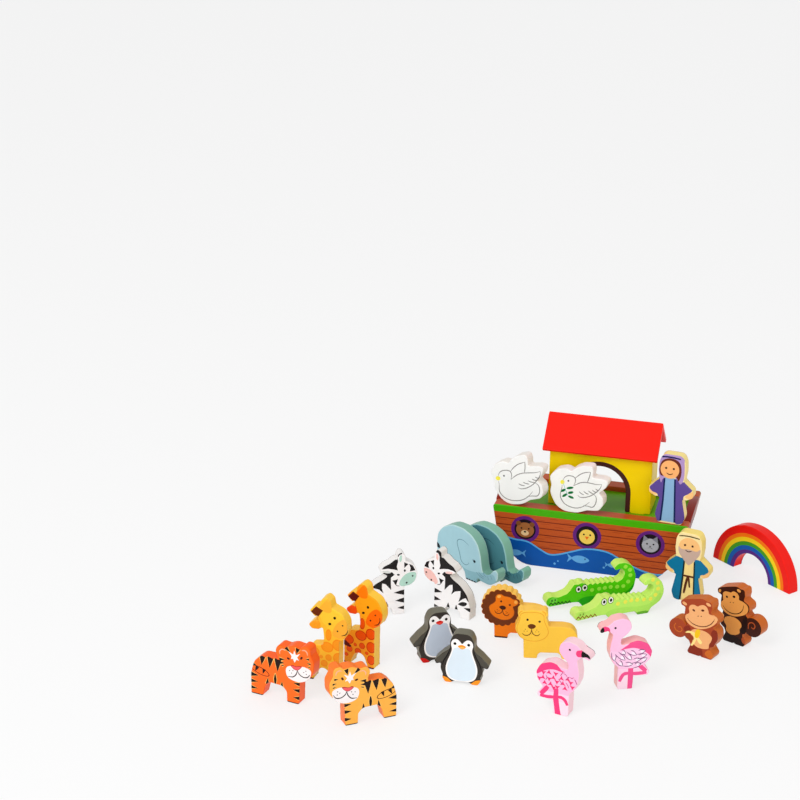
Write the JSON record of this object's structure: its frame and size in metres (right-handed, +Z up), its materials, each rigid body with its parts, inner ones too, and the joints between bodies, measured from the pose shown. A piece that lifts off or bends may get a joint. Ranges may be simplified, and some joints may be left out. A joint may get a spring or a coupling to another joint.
{
  "type": "wooden toy ark with animal figures",
  "caption": "Wooden toy ark with an arched house and a pitched roof, set out with robed figures, pairs of flat painted animals and a rainbow.",
  "frame": {"origin": "middle of the hull's underside, on the table", "axes": "+X along the hull to the right as seen from its painted front, which faces -Y; +Z up"},
  "size_m": [0.366, 0.3776, 0.121],
  "materials": {
    "hull_paint": "glossy opaque paint",
    "deck_paint": "glossy opaque paint",
    "bare_wood": "plain sanded wood",
    "wall_paint": "glossy opaque paint",
    "roof_paint": "glossy opaque paint",
    "dark_tiger_paint": "glossy opaque paint",
    "light_tiger_paint": "glossy opaque paint",
    "yellow_giraffe_paint": "glossy opaque paint",
    "orange_giraffe_paint": "glossy opaque paint",
    "white_paint": "glossy opaque paint",
    "penguin_paint": "glossy opaque paint",
    "pale_elephant_paint": "glossy opaque paint",
    "teal_elephant_paint": "glossy opaque paint",
    "lion_paint": "glossy opaque paint",
    "lioness_paint": "glossy opaque paint",
    "dark_crocodile_paint": "glossy opaque paint",
    "light_crocodile_paint": "glossy opaque paint",
    "flamingo_paint": "glossy opaque paint",
    "light_monkey_paint": "glossy opaque paint",
    "dark_monkey_paint": "glossy opaque paint",
    "robe_cream_paint": "glossy opaque paint",
    "rainbow_paint": "glossy opaque paint"
  },
  "bodies": {
    "ark": {"hull_front": "hull_paint", "hull_back": "hull_paint", "hull_bottom": "hull_paint", "bow_bilge_board": "hull_paint", "stern_bilge_board": "hull_paint", "bow_board": "hull_paint", "stern_board": "hull_paint", "deck": "deck_paint", "deck_batten_front": "bare_wood", "deck_batten_back": "bare_wood", "house_front_wall": "wall_paint", "house_back_wall": "wall_paint", "house_bow_gable": "wall_paint", "house_stern_gable": "wall_paint", "roof_front_panel": "roof_paint", "roof_back_panel": "roof_paint"},
    "tiger_dark": {"tiger_dark": "dark_tiger_paint"},
    "tiger_light": {"tiger_light": "light_tiger_paint"},
    "giraffe_yellow": {"giraffe_yellow": "yellow_giraffe_paint"},
    "giraffe_orange": {"giraffe_orange": "orange_giraffe_paint"},
    "zebra_mint_nose": {"zebra_mint_nose": "white_paint"},
    "zebra_pink_nose": {"zebra_pink_nose": "white_paint"},
    "penguin_red_beak": {"penguin_red_beak": "penguin_paint"},
    "penguin_orange_beak": {"penguin_orange_beak": "penguin_paint"},
    "elephant_near": {"elephant_near": "pale_elephant_paint"},
    "elephant_far": {"elephant_far": "teal_elephant_paint"},
    "lion": {"lion": "lion_paint"},
    "lioness": {"lioness": "lioness_paint"},
    "crocodile_dark": {"crocodile_dark": "dark_crocodile_paint"},
    "crocodile_light": {"crocodile_light": "light_crocodile_paint"},
    "flamingo_patched": {"flamingo_patched": "flamingo_paint"},
    "flamingo_feathered": {"flamingo_feathered": "flamingo_paint"},
    "dove_plain": {"dove_plain": "white_paint"},
    "dove_with_sprig": {"dove_with_sprig": "white_paint"},
    "monkey_with_banana": {"monkey_with_banana": "light_monkey_paint"},
    "monkey_brown": {"monkey_brown": "dark_monkey_paint"},
    "robed_man": {"robed_man": "robe_cream_paint"},
    "robed_woman": {"robed_woman": "robe_cream_paint"},
    "rainbow": {"rainbow": "rainbow_paint"}
  },
  "joints": [
    {"name": "lift_tiger_dark", "type": "slide", "parent": "ark", "child": "tiger_dark", "axis": [0, 0, 1], "range_m": [0, 0.12]},
    {"name": "lift_tiger_light", "type": "slide", "parent": "ark", "child": "tiger_light", "axis": [0, 0, 1], "range_m": [0, 0.12]},
    {"name": "lift_giraffe_yellow", "type": "slide", "parent": "ark", "child": "giraffe_yellow", "axis": [0, 0, 1], "range_m": [0, 0.12]},
    {"name": "lift_giraffe_orange", "type": "slide", "parent": "ark", "child": "giraffe_orange", "axis": [0, 0, 1], "range_m": [0, 0.12]},
    {"name": "lift_zebra_mint_nose", "type": "slide", "parent": "ark", "child": "zebra_mint_nose", "axis": [0, 0, 1], "range_m": [0, 0.12]},
    {"name": "lift_zebra_pink_nose", "type": "slide", "parent": "ark", "child": "zebra_pink_nose", "axis": [0, 0, 1], "range_m": [0, 0.12]},
    {"name": "lift_penguin_red_beak", "type": "slide", "parent": "ark", "child": "penguin_red_beak", "axis": [0, 0, 1], "range_m": [0, 0.12]},
    {"name": "lift_penguin_orange_beak", "type": "slide", "parent": "ark", "child": "penguin_orange_beak", "axis": [0, 0, 1], "range_m": [0, 0.12]},
    {"name": "lift_elephant_near", "type": "slide", "parent": "ark", "child": "elephant_near", "axis": [0, 0, 1], "range_m": [0, 0.12]},
    {"name": "lift_elephant_far", "type": "slide", "parent": "ark", "child": "elephant_far", "axis": [0, 0, 1], "range_m": [0, 0.12]},
    {"name": "lift_lion", "type": "slide", "parent": "ark", "child": "lion", "axis": [0, 0, 1], "range_m": [0, 0.12]},
    {"name": "lift_lioness", "type": "slide", "parent": "ark", "child": "lioness", "axis": [0, 0, 1], "range_m": [0, 0.12]},
    {"name": "lift_crocodile_dark", "type": "slide", "parent": "ark", "child": "crocodile_dark", "axis": [0, 0, 1], "range_m": [0, 0.12]},
    {"name": "lift_crocodile_light", "type": "slide", "parent": "ark", "child": "crocodile_light", "axis": [0, 0, 1], "range_m": [0, 0.12]},
    {"name": "lift_flamingo_patched", "type": "slide", "parent": "ark", "child": "flamingo_patched", "axis": [0, 0, 1], "range_m": [0, 0.12]},
    {"name": "lift_flamingo_feathered", "type": "slide", "parent": "ark", "child": "flamingo_feathered", "axis": [0, 0, 1], "range_m": [0, 0.12]},
    {"name": "lift_dove_plain", "type": "slide", "parent": "ark", "child": "dove_plain", "axis": [0, 0, 1], "range_m": [0, 0.12]},
    {"name": "lift_dove_with_sprig", "type": "slide", "parent": "ark", "child": "dove_with_sprig", "axis": [0, 0, 1], "range_m": [0, 0.12]},
    {"name": "lift_monkey_with_banana", "type": "slide", "parent": "ark", "child": "monkey_with_banana", "axis": [0, 0, 1], "range_m": [0, 0.12]},
    {"name": "lift_monkey_brown", "type": "slide", "parent": "ark", "child": "monkey_brown", "axis": [0, 0, 1], "range_m": [0, 0.12]},
    {"name": "lift_robed_man", "type": "slide", "parent": "ark", "child": "robed_man", "axis": [0, 0, 1], "range_m": [0, 0.12]},
    {"name": "lift_robed_woman", "type": "slide", "parent": "ark", "child": "robed_woman", "axis": [0, 0, 1], "range_m": [0, 0.12]},
    {"name": "lift_rainbow", "type": "slide", "parent": "ark", "child": "rainbow", "axis": [0, 0, 1], "range_m": [0, 0.12]}
  ]
}
